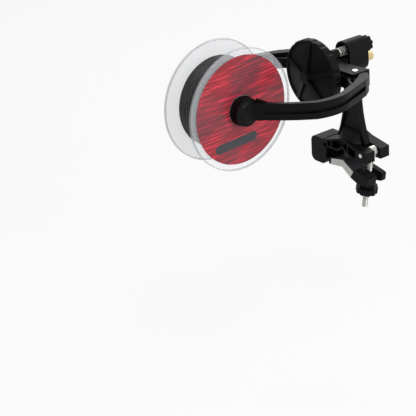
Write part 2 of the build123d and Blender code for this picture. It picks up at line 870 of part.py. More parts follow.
with BuildPart() as right_arm:
    # tall thin rail, from the heel round the elbow to the hub
    with BuildSketch(Plane.XY.offset(yoke_height - arm_z)):
        with BuildLine():
            outer_upper = Line(arm_point(53.0, 7.5), elbow_out[0])
            outer_elbow = ThreePointArc(*elbow_out)
            outer_fore = ThreePointArc(
                elbow_out[2],
                arm_point(47.6, reach - 22.4),
                arm_point(hub_x + 1.4, reach - 4.0),
            )
            inner_fore = ThreePointArc(
                arm_point(hub_x - 2.2, reach - 6.6),
                arm_point(45.2, reach - 24.7),
                elbow_in[2],
            )
            Line(outer_fore @ 1, inner_fore @ 0)
            inner_elbow = ThreePointArc(elbow_in[2], elbow_in[1], elbow_in[0])
            Polyline(
                inner_elbow @ 1,
                arm_point(50.4, 18.6),
                arm_point(44.8, 9.0),
                arm_point(40.3, 2.6),
                arm_point(40.3, -2.4),
                arm_point(43.0, -4.1),
                arm_point(46.8, -1.6),
                outer_upper @ 0,
            )
        make_face()
    extrude(amount=arm_height)
    # flared neck from the rail to the hub
    with BuildSketch(
        Plane(
            origin=(*arm_point(35.1, reach - 13.6), yoke_height),
            x_dir=(0, 0, 1),
            z_dir=(-0.72, -0.69, 0),
        )
    ):
        Rectangle(arm_height - 0.6, 2.8)
    with BuildSketch(
        Plane(
            origin=(*arm_point(hub_x - 0.4, reach - 8.8), yoke_height),
            x_dir=(0, 0, 1),
            z_dir=(-0.5, -0.87, 0),
        )
    ):
        Rectangle(arm_hub_d - 4.6, 3.4)
    loft()
    # channel along the outside
    with BuildSketch(Plane.XY.offset(yoke_height - arm_groove / 2)):
        with BuildLine():
            groove_arc = ThreePointArc(
                arm_point(elbow_out[0][0] - arm_groove_depth, 32.0),
                arm_point(elbow_out[1][0] - arm_groove_depth, 51.0),
                arm_point(elbow_out[2][0] - arm_groove_depth, 65.6),
            )
            groove_fore = ThreePointArc(
                groove_arc @ 1,
                arm_point(46.4, reach - 23.6),
                arm_point(33.0, reach - 10.6),
            )
            Polyline(
                groove_fore @ 1,
                arm_point(36.0, reach - 3.0),
                arm_point(80.0, 60.0),
                arm_point(80.0, 8.0),
                arm_point(53.4, 8.6),
                arm_point(50.6, 9.6),
                groove_arc @ 0,
            )
        make_face()
    extrude(amount=arm_groove, mode=Mode.SUBTRACT)
    # knuckle between the plates, lobe in front of the crossbar, gusset to the rail
    with BuildSketch(Plane.XY.offset(yoke_height - knuckle_height / 2)):
        with Locations(arm_point(rivet_x, 0)):
            Circle(arm_knuckle_r)
        with Locations(arm_point(rivet_x - lobe_lever, lobe_front - lobe_r)):
            Circle(lobe_r)
        with BuildLine():
            Polyline(
                arm_point(rivet_x, -arm_knuckle_r + 0.6),
                arm_point(15.6, 1.4),
                arm_point(14.2, 3.4),
                arm_point(15.0, 5.8),
                arm_point(rivet_x - lobe_lever - 1.0, lobe_front - 0.15),
                arm_point(rivet_x - lobe_lever + 1.0, lobe_front - 0.15),
                arm_point(34.6, 9.6),
                arm_point(37.6, 12.6),
                arm_point(44.0, 16.6),
                arm_point(52.2, 21.0),
                arm_point(52.6, 17.0),
                arm_point(46.0, 4.0),
                arm_point(43.0, -1.5),
                close=True,
            )
        make_face()
    extrude(amount=knuckle_height)
    # sunk faces of the gusset each side of its diagonal rib
    for z in (yoke_height + 1.4, yoke_height - knuckle_height / 2):
        with BuildSketch(Plane.XY.offset(z)):
            with BuildLine():
                Polyline(
                    arm_point(39.4, 8.4),
                    arm_point(43.4, 10.2),
                    arm_point(48.0, 17.0),
                    arm_point(44.4, 15.0),
                    arm_point(38.4, 11.4),
                    close=True,
                )
            make_face()
            with BuildLine():
                Polyline(
                    arm_point(38.8, 1.0),
                    arm_point(39.6, 1.0),
                    arm_point(42.0, 6.4),
                    arm_point(38.4, 6.4),
                    close=True,
                )
            make_face()
        extrude(amount=knuckle_height / 2 - 1.4, mode=Mode.SUBTRACT)
    # round hub that carries the cone
    with BuildSketch(facing_right(arm_face)):
        Circle(arm_hub_d / 2)
    extrude(amount=arm_hub_t)
    with BuildSketch(facing_right(hub_x)):
        Circle(arm_hub_d / 2 - 1.5)
    with BuildSketch(facing_right(hub_x + 1.6)):
        Circle(arm_hub_d / 2 - 5)
    loft()
    with BuildSketch(Plane.XY.offset(yoke_height - arm_height)):
        with Locations(arm_point(rivet_x, 0)):
            Circle(rivet_d / 2 + run_gap)
    extrude(amount=2 * arm_height, mode=Mode.SUBTRACT)
    # nothing of the arm stands on the spool's side of its hub
    with BuildSketch(facing_right(0)):
        Circle(2 * arm_hub_d)
    extrude(amount=arm_face, mode=Mode.SUBTRACT)
    with BuildSketch(facing_right(0)):
        Circle(cone_pin_d / 2 + fit_gap)
    extrude(amount=arm_face + arm_hub_t - 1.0, mode=Mode.SUBTRACT)

left_arm = mirror(right_arm.part, about=Plane.YZ)
right_arm.part.label = "right_arm"
export_step(right_arm.part, "parts/right_arm.step")
left_arm.label = "left_arm"
export_step(left_arm, "parts/left_arm.step")

# ---- cones and their pins ----
cone_axis = Axis((0, spool_y, yoke_height), (1, 0, 0))
cone_tip = cone_base - cone_length
cone_profile = Plane(origin=(0, spool_y, yoke_height), x_dir=(1, 0, 0), z_dir=(0, 0, 1))

with BuildPart() as right_cone:
    with BuildSketch(cone_profile):
        with BuildLine():
            nose = EllipticalCenterArc(
                (cone_base, 0),
                cone_length,
                cone_d / 2 - cone_rib_rise,
                start_angle=90,
                arc_size=90,
            )
            Polyline(nose @ 1, (cone_base, 0), nose @ 0)
        make_face()
    revolve(axis=cone_axis)
    # gripping ribs along the nose
    for rib in range(cone_ribs):
        turn = 2 * pi * rib / cone_ribs
        rib_plane = Plane(
            origin=(0, spool_y, yoke_height),
            x_dir=(1, 0, 0),
            z_dir=(0, -sin(turn), cos(turn)),
        )
        with BuildSketch(rib_plane):
            with BuildLine():
                rib_top = EllipticalCenterArc(
                    (cone_base, 0),
                    cone_length - 0.4,
                    cone_d / 2,
                    start_angle=90,
                    arc_size=80,
                )
                Polyline(rib_top @ 1, (cone_base, 0), rib_top @ 0)
            make_face()
        extrude(amount=cone_rib_width / 2, both=True)
    with BuildSketch(facing_right(cone_base)):
        Circle(rim_d / 2)
        with PolarLocations(rim_d / 2 + 0.3, rim_teeth):
            Circle(0.7, mode=Mode.SUBTRACT)
    extrude(amount=rim_width)
    with BuildSketch(facing_right(0)):
        Circle(cone_pin_d / 2 + run_gap)
    extrude(amount=cone_base + rim_width + 1, mode=Mode.SUBTRACT)

left_cone = mirror(right_cone.part, about=Plane.YZ)
right_cone.part.label = "right_cone"
export_step(right_cone.part, "parts/right_cone.step")
left_cone.label = "left_cone"
export_step(left_cone, "parts/left_cone.step")

with BuildPart() as right_cone_pin:
    with BuildSketch(facing_right(hub_x - 1.0 - cone_pin_length)):
        Circle(cone_pin_d / 2)
    extrude(amount=cone_pin_length)

left_cone_pin = mirror(right_cone_pin.part, about=Plane.YZ)
right_cone_pin.part.label = "right_cone_pin"
export_step(right_cone_pin.part, "parts/right_cone_pin.step")
left_cone_pin.label = "left_cone_pin"
export_step(left_cone_pin, "parts/left_cone_pin.step")

# ---- pressure plate and tension knob on the yoke rod ----
plate_back = cross_y - lobe_front - seat_gap
knob_back = cross_y - knob_rim_back
knob_front = cross_y - knob_rim_front
knob_hub = cross_y - knob_hub_front
panel_drop = 0.9          # panels below the rim
panel_dish = 3.4          # hub's root ahead of the panels' outer edge

with BuildPart() as thrust_washer:
    with BuildSketch(facing_front(plate_back)):
        with Locations((0, yoke_height)):
            Circle(press_plate_d / 2)
            Circle(screw_r + run_gap, mode=Mode.SUBTRACT)
    extrude(amount=press_plate_t)
thrust_washer.part.label = "thrust_washer"
export_step(thrust_washer.part, "parts/thrust_washer.step")

knob_axis = Axis((0, 0, yoke_height), (0, 1, 0))
knob_profile = Plane(origin=(0, 0, yoke_height), x_dir=(0, 1, 0), z_dir=(-1, 0, 0))

with BuildPart() as tension_knob:
    # rim and dished panels, turned
    with BuildSketch(knob_profile):
        with BuildLine():
            Polyline(
                (knob_back, 0),
                (knob_back, knob_d / 2 - 0.8),
                (knob_back - 0.8, knob_d / 2),
                (knob_front + 0.8, knob_d / 2),
                (knob_front, knob_d / 2 - 0.8),
                (knob_front, knob_d / 2 - 2.4),
                (knob_front + panel_drop, knob_d / 2 - 2.8),
                (knob_front - panel_dish, 5.0),
                (knob_front - panel_dish, 0),
                close=True,
            )
        make_face()
    revolve(axis=knob_axis)
    # star ribs rising to the middle
    for rib in range(knob_ribs):
        turn = 2 * pi * rib / knob_ribs
        out = Vector(sin(turn), 0, cos(turn))
        rib_plane = Plane(
            origin=(0, 0, yoke_height),
            x_dir=(0, 1, 0),
            z_dir=out.cross(Vector(0, 1, 0)) * -1,
        )
        with BuildSketch(rib_plane):
            with BuildLine():
                Polyline(
                    (knob_back - 2, 0),
                    (knob_hub + 0.2, 0),
                    (knob_hub + 0.2, 3.0),
                    (knob_front + 0.3, knob_d / 2 - 1.2),
                    (knob_back - 2, knob_d / 2 - 1.2),
                    close=True,
                )
            make_face()
        extrude(amount=knob_rib_width / 2, both=True)
    with BuildSketch(facing_front(knob_back)):
        with Locations((0, yoke_height)):
            Circle(4.4)
    extrude(amount=knob_back - knob_hub)
    # scallops round the rim
    with BuildSketch(facing_front(knob_back)):
        with Locations((0, yoke_height)):
            with PolarLocations(knob_d / 2 + scallop_r - scallop_cut, knob_scallops):
                Circle(scallop_r)
    extrude(amount=knob_back - knob_front, mode=Mode.SUBTRACT)
    # seat of the threaded insert, and room for the rod beyond it
    with BuildSketch(facing_front(knob_back)):
        with Locations((0, yoke_height)):
            Circle(insert_r + fit_gap)
    extrude(amount=knob_insert_length, mode=Mode.SUBTRACT)
    with BuildSketch(facing_front(knob_back)):
        with Locations((0, yoke_height)):
            Circle(screw_r + run_gap)
    extrude(amount=rod_front + 0.6 - knob_rim_back, mode=Mode.SUBTRACT)
tension_knob.part.label = "tension_knob"
export_step(tension_knob.part, "parts/tension_knob.step")

with BuildPart() as tension_knob_insert:
    with BuildSketch(facing_front(knob_back)):
        with Locations((0, yoke_height)):
            Circle(insert_r)
            Circle(screw_r + run_gap, mode=Mode.SUBTRACT)
    extrude(amount=knob_insert_length)
tension_knob_insert.part.label = "tension_knob_insert"
export_step(tension_knob_insert.part, "parts/tension_knob_insert.step")

# ---- lock plunger, its spring and knob ----
nose_y = cross_y + plunger_nose
collar_back = nose_y + collar_t
spring_room = recess_floor - collar_back
lock_knob_front = head_back + seat_gap
lock_knob_back = lock_knob_front + lock_knob_length

with BuildPart() as lock_plunger:
    with BuildSketch(facing_front(collar_back)):
        with Locations((0, lock_z)):
            Circle(collar_d / 2)
    extrude(amount=collar_t)
    with BuildSketch(facing_front(lock_knob_back - 1.0)):
        with Locations((0, lock_z)):
            Circle(plunger_d / 2)
    extrude(amount=lock_knob_back - 1.0 - nose_y)
lock_plunger.part.label = "lock_plunger"
export_step(lock_plunger.part, "parts/lock_plunger.step")

with BuildPart() as lock_knob:
    with BuildSketch(facing_front(lock_knob_back)):
        with Locations((0, lock_z)):
            Circle(lock_knob_d / 2)
            with PolarLocations(lock_knob_d / 2 + 0.9, lock_lobes):
                Circle(1.9, mode=Mode.SUBTRACT)
    extrude(amount=lock_knob_length)
    chamfer(lock_knob.faces().sort_by(Axis.Y)[-1].outer_wire().edges(), 0.6)
    with BuildSketch(facing_front(lock_knob_back - 1.0)):
        with Locations((0, lock_z)):
            Circle(plunger_d / 2 + fit_gap)
    extrude(amount=lock_knob_length, mode=Mode.SUBTRACT)
lock_knob.part.label = "lock_knob"
export_step(lock_knob.part, "parts/lock_knob.step")

spring_rise = spring_room - spring_wire - 2 * spring_end_gap
lock_spring = helix_tube(
    "lock_spring",
    Vector(0, collar_back + spring_end_gap + spring_wire / 2, lock_z),
    Vector(0, 1, 0),
    Vector(0, 0, 1),
    (spring_d - spring_wire) / 2,
    spring_wire,
    spring_rise / spring_curls,
    spring_curls,
    spring_wire,
)
lock_spring.label = "lock_spring"
export_step(lock_spring, "parts/lock_spring.step")

# ---- line spool: core, clear flanges, a label on one of them and the line on it ----
barrel_r = barrel_d / 2
bore_r = bore_d / 2
line_r = line_d / 2
line_centre = winding_d / 2 - line_r

with BuildPart() as spool_core:
    with BuildSketch(facing_right(-inner_face)):
        Circle(barrel_r)
        Circle(bore_r, mode=Mode.SUBTRACT)
    extrude(amount=2 * inner_face)
spool_core.part.label = "spool_core"
export_step(spool_core.part, "parts/spool_core.step")

for side, x_left in (("right", inner_face), ("left", -half_spool)):
    with BuildPart() as spool_flange:
        with BuildSketch(facing_right(x_left)):
            Circle(spool_d / 2)
            Circle(bore_r, mode=Mode.SUBTRACT)
        extrude(amount=flange_t)
    spool_flange.part.label = f"spool_flange_{side}"
    export_step(spool_flange.part, f"parts/spool_flange_{side}.step")

with BuildPart() as spool_label:
    with BuildSketch(facing_right(half_spool + fit_gap / 2)):
        Circle(label_d / 2)
        Circle(label_hole_d / 2, mode=Mode.SUBTRACT)
    extrude(amount=label_t)
spool_label.part.label = "spool_label"
export_step(spool_label.part, "parts/spool_label.step")

with BuildPart() as line_core:
    with BuildSketch(facing_right(-inner_face)):
        Circle(line_centre - line_r - fit_gap)
        Circle(barrel_r, mode=Mode.SUBTRACT)
    extrude(amount=2 * inner_face)
line_core.part.label = "line_core"
export_step(line_core.part, "parts/line_core.step")

line_winding = helix_tube(
    "line_winding",
    Vector(-line_pitch * line_loops / 2, spool_y, yoke_height),
    Vector(1, 0, 0),
    Vector(0, 1, 0),
    line_centre,
    line_d,
    line_pitch,
    line_loops,
    line_d,
)
line_winding.label = "line_winding"
export_step(line_winding, "parts/line_winding.step")
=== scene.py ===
import math

import bmesh
import bpy
from mathutils import Matrix, Vector


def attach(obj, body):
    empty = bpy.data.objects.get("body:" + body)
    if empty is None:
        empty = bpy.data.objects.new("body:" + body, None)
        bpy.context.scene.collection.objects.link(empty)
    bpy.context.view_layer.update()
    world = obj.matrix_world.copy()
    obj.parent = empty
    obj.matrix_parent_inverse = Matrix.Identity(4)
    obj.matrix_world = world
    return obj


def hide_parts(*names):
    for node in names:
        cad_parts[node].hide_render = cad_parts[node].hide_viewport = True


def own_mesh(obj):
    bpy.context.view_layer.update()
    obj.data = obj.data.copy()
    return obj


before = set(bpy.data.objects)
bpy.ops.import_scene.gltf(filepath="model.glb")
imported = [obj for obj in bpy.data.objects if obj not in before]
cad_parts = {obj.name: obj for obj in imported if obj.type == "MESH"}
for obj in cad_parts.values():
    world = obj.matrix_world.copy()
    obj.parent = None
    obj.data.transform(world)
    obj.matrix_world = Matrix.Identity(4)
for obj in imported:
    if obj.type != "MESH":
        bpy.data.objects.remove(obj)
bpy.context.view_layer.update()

# ---- studio ----
# The winder is shown on white, from the spool's side and a little above. The camera stands where
# a fit to the photograph's own points puts it.
camera_data = bpy.data.cameras.new("photo_camera")
camera_data.lens = 125.76
camera_data.sensor_width = 36.0
camera_data.clip_start = 0.05
camera = bpy.data.objects.new("photo_camera", camera_data)
bpy.context.scene.collection.objects.link(camera)
right = Vector((0.61891764, 0.78293534, -0.06287463))
down = Vector((0.29845673, -0.30846556, -0.90320130))
ahead = Vector((-0.72654287, 0.54024185, -0.42458709))
turned = Matrix((right, -down, -ahead)).transposed().to_4x4()
camera.matrix_world = Matrix.Translation((0.836539, -0.780855, 0.488593)) @ turned
bpy.context.scene.camera = camera
bpy.context.scene.view_settings.view_transform = "Standard"


def linear(code):
    """The linear colour of an sRGB hex value."""
    shares = [int(code[i:i + 2], 16) / 255 for i in (1, 3, 5)]
    return [c / 12.92 if c <= 0.04045 else ((c + 0.055) / 1.055) ** 2.4 for c in shares] + [1.0]


def add_node(tree, kind, inputs=(), **settings):
    """Adds a node to a tree with its settings, and links or sets its inputs."""
    made = tree.nodes.new(kind)
    for name, value in settings.items():
        setattr(made, name, value)
    for name, value in dict(inputs).items():
        if isinstance(value, bpy.types.NodeSocket):
            tree.links.new(value, made.inputs[name])
        else:
            made.inputs[name].default_value = value
    return made


def new_material(name):
    """A material with an empty node tree and its output."""
    material = bpy.data.materials.new(name)
    material.use_nodes = True
    material.node_tree.nodes.clear()
    output = material.node_tree.nodes.new("ShaderNodeOutputMaterial")
    return material, material.node_tree, output


def studio_lamp(name, place, aim, size, watts):
    """A square soft box aimed at a point."""
    lamp = bpy.data.lights.new(name, "AREA")
    lamp.size = size
    lamp.energy = watts
    holder = bpy.data.objects.new(name, lamp)
    holder.location = place
    holder.rotation_euler = (Vector(aim) - Vector(place)).to_track_quat("-Z", "Y").to_euler()
    bpy.context.scene.collection.objects.link(holder)


studio_lamp("key_lamp", (0.5, -0.3, 1.1), (0, -0.06, 0.06), 0.5, 4.5)
studio_lamp("side_lamp", (1.15, 0.1, 0.4), (0, -0.06, 0.05), 0.5, 6.5)
studio_lamp("back_lamp", (-0.7, 0.7, 0.8), (0, -0.06, 0.06), 0.6, 4.0)


def white_seen(tree):
    """1 for camera, glossy and transmission rays, which see the background white."""
    rays = tree.nodes.new("ShaderNodeLightPath")
    pair = {0: rays.outputs["Is Camera Ray"], 1: rays.outputs["Is Glossy Ray"]}
    first = add_node(tree, "ShaderNodeMath", pair, operation="MAXIMUM")
    both = {0: first.outputs[0], 1: rays.outputs["Is Transmission Ray"]}
    return add_node(tree, "ShaderNodeMath", both, operation="MAXIMUM").outputs[0]


world = bpy.data.worlds.new("studio_world")
bpy.context.scene.world = world
world.use_nodes = True
sky = world.node_tree
sky.nodes.clear()
ambient = add_node(sky, "ShaderNodeBackground", {"Color": linear("#f4f5f7"), "Strength": 0.36})
backdrop = add_node(sky, "ShaderNodeBackground", {"Color": linear("#ffffff"), "Strength": 1.0})
mixed = add_node(sky, "ShaderNodeMixShader",
                 {"Fac": white_seen(sky), 1: ambient.outputs[0], 2: backdrop.outputs[0]})
add_node(sky, "ShaderNodeOutputWorld", {"Surface": mixed.outputs[0]})

# The floor is a wide pale sheet under the winder. It is white to the rays that see it, and keeps
# a share of matt paper for the shadow.
floor_drop, white_part = 0.16, 0.85
floor_mesh = bmesh.new()
bmesh.ops.create_grid(floor_mesh, x_segments=2, y_segments=2, size=4.0)
floor_data = bpy.data.meshes.new("floor")
floor_mesh.to_mesh(floor_data)
floor_mesh.free()
floor = bpy.data.objects.new("floor", floor_data)
floor.location = (0, 0, -floor_drop)
bpy.context.scene.collection.objects.link(floor)
paper, paper_tree, paper_out = new_material("white_paper")
paper_white = add_node(paper_tree, "ShaderNodeEmission",
                       {"Color": linear("#ffffff"), "Strength": 1.0})
paper_matt = add_node(paper_tree, "ShaderNodeBsdfDiffuse", {"Color": linear("#fafafa")})
paper_share = add_node(paper_tree, "ShaderNodeMath", {0: white_seen(paper_tree), 1: white_part},
                       operation="MULTIPLY")
paper_mix = add_node(paper_tree, "ShaderNodeMixShader",
                     {"Fac": paper_share.outputs[0], 1: paper_matt.outputs[0],
                      2: paper_white.outputs[0]})
paper_tree.links.new(paper_mix.outputs[0], paper_out.inputs["Surface"])
floor_data.materials.append(paper)

# ---- stand: post, head, V beam and hinge block ----
# One glass-filled nylon moulding. Its mould is spark-eroded, so the skin is a fine satin grain,
# and every corner has the small radius of a cutter.
MM = 0.001


def moulded_nylon(name, tones, roughness, grain_mm, grain_height_mm):
    """Black moulded plastic: fine eroded grain, slightly uneven gloss and tone."""
    material, tree, output = new_material(name)
    flow_patch = 110.0    # per metre, patches of about 9 mm from the melt's flow
    place = tree.nodes.new("ShaderNodeTexCoord").outputs["Object"]
    grain = add_node(tree, "ShaderNodeTexNoise",
                     {"Vector": place, "Scale": 1 / (grain_mm * MM), "Detail": 2.0})
    cloud = add_node(tree, "ShaderNodeTexNoise",
                     {"Vector": place, "Scale": flow_patch, "Detail": 4.0})
    gloss = add_node(tree, "ShaderNodeMapRange",
                     {"Value": cloud.outputs["Fac"], "To Min": roughness - 0.06,
                      "To Max": roughness + 0.08})
    shade = add_node(tree, "ShaderNodeMix",
                     {"Factor": cloud.outputs["Fac"], "A": linear(tones[0]),
                      "B": linear(tones[1])}, data_type="RGBA")
    bump = add_node(tree, "ShaderNodeBump",
                    {"Height": grain.outputs["Fac"], "Strength": 0.3,
                     "Distance": grain_height_mm * MM})
    skin = add_node(tree, "ShaderNodeBsdfPrincipled",
                    {"Base Color": shade.outputs["Result"], "Roughness": gloss.outputs["Result"],
                     "Normal": bump.outputs["Normal"], "IOR": 1.5, "Specular IOR Level": 0.09})
    tree.links.new(skin.outputs["BSDF"], output.inputs["Surface"])
    return material


def rounded(node, body, material, radius_mm, segments=2):
    """A copy of a node's mesh with its sharp corners rounded, shown in its place."""
    flat_angle, corner_angle = math.radians(0.7), math.radians(32)
    shape = bmesh.new()
    shape.from_mesh(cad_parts[node].data)
    bmesh.ops.remove_doubles(shape, verts=shape.verts, dist=0.01 * MM)
    bmesh.ops.dissolve_limit(shape, angle_limit=flat_angle, verts=shape.verts, edges=shape.edges)
    mesh = bpy.data.meshes.new(node + "_moulded")
    shape.to_mesh(mesh)
    shape.free()
    mesh.materials.clear()
    mesh.materials.append(material)
    piece = bpy.data.objects.new(node + "_moulded", mesh)
    bpy.context.scene.collection.objects.link(piece)
    mesh.shade_smooth()
    corner = piece.modifiers.new("corner", "BEVEL")
    corner.width = radius_mm * MM
    corner.segments = segments
    corner.limit_method = "ANGLE"
    corner.angle_limit = corner_angle
    corner.miter_outer = "MITER_ARC"
    corner.harden_normals = False
    normals = piece.modifiers.new("normals", "WEIGHTED_NORMAL")
    normals.keep_sharp = True
    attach(piece, body)
    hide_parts(node)
    return piece


nylon = moulded_nylon("glass_filled_nylon", ("#08090a", "#0f1012"), 0.46,
                      grain_mm=0.35, grain_height_mm=0.05)
rounded("post_frame", "stand", nylon, 0.45)


# ---- metal of the stand: bush, hinge pin, swing pin ----
# Zinc-plated steel, turned and cut to length. The plating is bright with a faint warm cast.
def turned_metal(name, tones, roughness):
    """Machined metal with fine marks and a slightly uneven gloss."""
    tool_marks = 1100.0    # per metre, marks of about 0.9 mm, coarser than real so that they show
    material, tree, output = new_material(name)
    place = tree.nodes.new("ShaderNodeTexCoord").outputs["Object"]
    marks = add_node(tree, "ShaderNodeTexNoise",
                     {"Vector": place, "Scale": tool_marks, "Detail": 3.0})
    gloss = add_node(tree, "ShaderNodeMapRange",
                     {"Value": marks.outputs["Fac"], "To Min": roughness - 0.06,
                      "To Max": roughness + 0.1})
    shade = add_node(tree, "ShaderNodeMix",
                     {"Factor": marks.outputs["Fac"], "A": linear(tones[0]),
                      "B": linear(tones[1])}, data_type="RGBA")
    bump = add_node(tree, "ShaderNodeBump",
                    {"Height": marks.outputs["Fac"], "Strength": 0.15, "Distance": 0.02 * MM})
    skin = add_node(tree, "ShaderNodeBsdfPrincipled",
                    {"Base Color": shade.outputs["Result"], "Metallic": 1.0,
                     "Roughness": gloss.outputs["Result"], "Normal": bump.outputs["Normal"]})
    tree.links.new(skin.outputs["BSDF"], output.inputs["Surface"])
    return material


def finish_node(name, material):
    """Gives a node of the frame its material."""
    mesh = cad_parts[name].data
    mesh.materials.clear()
    mesh.materials.append(material)


zinc = turned_metal("zinc_plated_steel", ("#b5b3ae", "#d0cec9"), 0.28)
for pin in ("head_bush", "jaw_hinge_pin", "swing_pin"):
    finish_node(pin, zinc)

# ---- lower jaw and its pad ----
# The jaw is the same nylon. The pad is a pale thermoplastic rubber slipped over its spine, matt
# with a faint mottle. Its faces that look up are painted dark grey, as painted shade.
mottle_patch, rubber_pores = 160.0, 2500.0    # per metre: patches of 6 mm, pores of 0.4 mm
rounded("lower_jaw", "lower_jaw", nylon, 0.4)
rubber, rubber_tree, rubber_out = new_material("pale_thermoplastic_rubber")
rubber_place = rubber_tree.nodes.new("ShaderNodeTexCoord").outputs["Object"]
rubber_mottle = add_node(rubber_tree, "ShaderNodeTexNoise",
                         {"Vector": rubber_place, "Scale": mottle_patch, "Detail": 5.0})
rubber_grain = add_node(rubber_tree, "ShaderNodeTexNoise",
                        {"Vector": rubber_place, "Scale": rubber_pores})
rubber_shade = add_node(rubber_tree, "ShaderNodeMix",
                        {"Factor": rubber_mottle.outputs["Fac"], "A": linear("#cfcfc9"),
                         "B": linear("#e2e2dc")}, data_type="RGBA")
rubber_normal = rubber_tree.nodes.new("ShaderNodeTexCoord").outputs["Normal"]
# painted shade: faces whose normal points up are mixed towards dark grey
rubber_up = add_node(rubber_tree, "ShaderNodeSeparateXYZ", {"Vector": rubber_normal})
pad_painted_shade_mask = add_node(rubber_tree, "ShaderNodeMapRange",
                        {"Value": rubber_up.outputs["Z"], "From Min": 0.3, "From Max": 0.45})
rubber_with_painted_shade = add_node(rubber_tree, "ShaderNodeMix",
                       {"Factor": pad_painted_shade_mask.outputs["Result"],
                        "A": rubber_shade.outputs["Result"], "B": linear("#2c2f34")},
                       data_type="RGBA")
rubber_bump = add_node(rubber_tree, "ShaderNodeBump",
                       {"Height": rubber_grain.outputs["Fac"], "Strength": 0.3,
                        "Distance": 0.05 * MM})
rubber_skin = add_node(rubber_tree, "ShaderNodeBsdfPrincipled",
                       {"Base Color": rubber_with_painted_shade.outputs["Result"], "Roughness": 0.6,
                        "Normal": rubber_bump.outputs["Normal"]})
rubber_tree.links.new(rubber_skin.outputs["BSDF"], rubber_out.inputs["Surface"])
rounded("jaw_pad", "lower_jaw", rubber, 0.5)

# ---- swing bolt, washer and clamp knob ----
# An M5 eye bolt with a rolled thread, a plain washer, and a nylon knob moulded on a brass nut.
# The bolt hangs from its pin, tilted 10.5 degrees as the jaw is.
bolt_pin = Vector((21.6, 0, 5.1)) * MM
bolt_way = Vector((-0.18223553, 0, -0.98325491))
screw_r, screw_pitch = 2.5 * MM, 0.8 * MM


def mesh_piece(name, mesh_data, material, body):
    """An object made from a mesh, riding on a body."""
    mesh_data.materials.append(material)
    piece = bpy.data.objects.new(name, mesh_data)
    bpy.context.scene.collection.objects.link(piece)
    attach(piece, body)
    return piece


def rolled_thread(name, start, way, length, radius, pitch):
    """Mesh of a screw thread from start along way, with a chamfered tip."""
    side = way.orthogonal().normalized()
    other = way.cross(side)
    around, rings_per_turn = 28, 8
    thread_depth = 0.6 * pitch
    steepness, root_width = 1.25, 0.12           # of the flanks, and of the flat roots
    tip_start, tip_length = 0.72, 1.2 * pitch    # share of the radius at the end, and the chamfer
    rings = int(length / pitch * rings_per_turn)
    shape = bmesh.new()
    rows = []
    for ring in range(rings + 1):
        along = length * ring / rings
        tip = min(1.0, tip_start + (1 - tip_start) * min(along, length - along) / tip_length)
        row = []
        for step in range(around):
            turn = 2 * math.pi * step / around
            phase = (along / pitch - step / around) % 1.0
            crest = 1 - abs(2 * phase - 1)
            depth = thread_depth * (1 - min(1.0, max(0.0, crest * steepness - root_width)))
            out = side * math.cos(turn) + other * math.sin(turn)
            row.append(shape.verts.new(start + way * along + out * ((radius - depth) * tip)))
        rows.append(row)
    for low, high in zip(rows, rows[1:]):
        for step in range(around):
            after = (step + 1) % around
            shape.faces.new((low[step], low[after], high[after], high[step]))
    shape.faces.new(list(reversed(rows[0])))
    shape.faces.new(rows[-1])
    mesh_data = bpy.data.meshes.new(name)
    shape.to_mesh(mesh_data)
    shape.free()
    mesh_data.shade_smooth()
    return mesh_data


def turned_ring(name, centre, way, profile, around=64):
    """Mesh turned about way through centre, from a closed profile of (radius, along) in mm."""
    side = way.orthogonal().normalized()
    other = way.cross(side)
    shape = bmesh.new()
    rows = []
    for step in range(around):
        turn = 2 * math.pi * step / around
        out = side * math.cos(turn) + other * math.sin(turn)
        places = [centre + out * (r * MM) + way * (a * MM) for r, a in profile]
        rows.append([shape.verts.new(place) for place in places])
    count = len(profile)
    for low, high in zip(rows, rows[1:] + rows[:1]):
        for k in range(count):
            shape.faces.new((low[k], low[(k + 1) % count], high[(k + 1) % count], high[k]))
    bmesh.ops.recalc_face_normals(shape, faces=shape.faces)
    mesh_data = bpy.data.meshes.new(name)
    shape.to_mesh(mesh_data)
    shape.free()
    mesh_data.shade_smooth()
    mesh_data.set_sharp_from_angle(angle=math.radians(35))
    return mesh_data


eye_profile = [(2.15, -2.6), (2.5, -3.0), (4.4, -3.0), (4.8, -2.6),
               (4.8, 2.6), (4.4, 3.0), (2.5, 3.0), (2.15, 2.6)]
eye_ring = turned_ring("bolt_eye", bolt_pin, Vector((0, 1, 0)), eye_profile)
eye = mesh_piece("bolt_eye", eye_ring, zinc, "swing_bolt")
shank_start, shank_length = bolt_pin + bolt_way * 4.2 * MM, 50.8 * MM
shank = rolled_thread("bolt_thread", shank_start, bolt_way, shank_length, screw_r, screw_pitch)
mesh_piece("bolt_thread", shank, zinc, "swing_bolt")
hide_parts("swing_bolt")
finish_node("clamp_washer", zinc)
rounded("clamp_knob", "clamp_knob", nylon, 0.5)
brass = turned_metal("turned_brass", ("#cbb684", "#e0d0a2"), 0.3)
finish_node("clamp_knob_insert", brass)

# ---- crossbar, hub block and rivets ----
# Nylon mouldings held by the yoke rod. The arm rivets are steel with low turned heads.
for part in ("crossbar", "hub_block"):
    rounded(part, "yoke", nylon, 0.35)
for rivet in ("pivot_rivet_right", "pivot_rivet_left"):
    finish_node(rivet, zinc)

# ---- yoke rod, washer and nut ----
# An M5 threaded rod through the head. A plain washer and a knurled blind brass nut hold it.
rod_front, rod_length = Vector((0, -47.9, 80)) * MM, 65.4 * MM
rod_thread = rolled_thread("yoke_rod_thread", rod_front, Vector((0, 1, 0)), rod_length,
                           screw_r, screw_pitch)
rod = mesh_piece("yoke_rod_thread", rod_thread, zinc, "yoke")
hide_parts("yoke_rod")
finish_node("rod_washer", zinc)
rounded("rod_nut", "yoke", brass, 0.2)
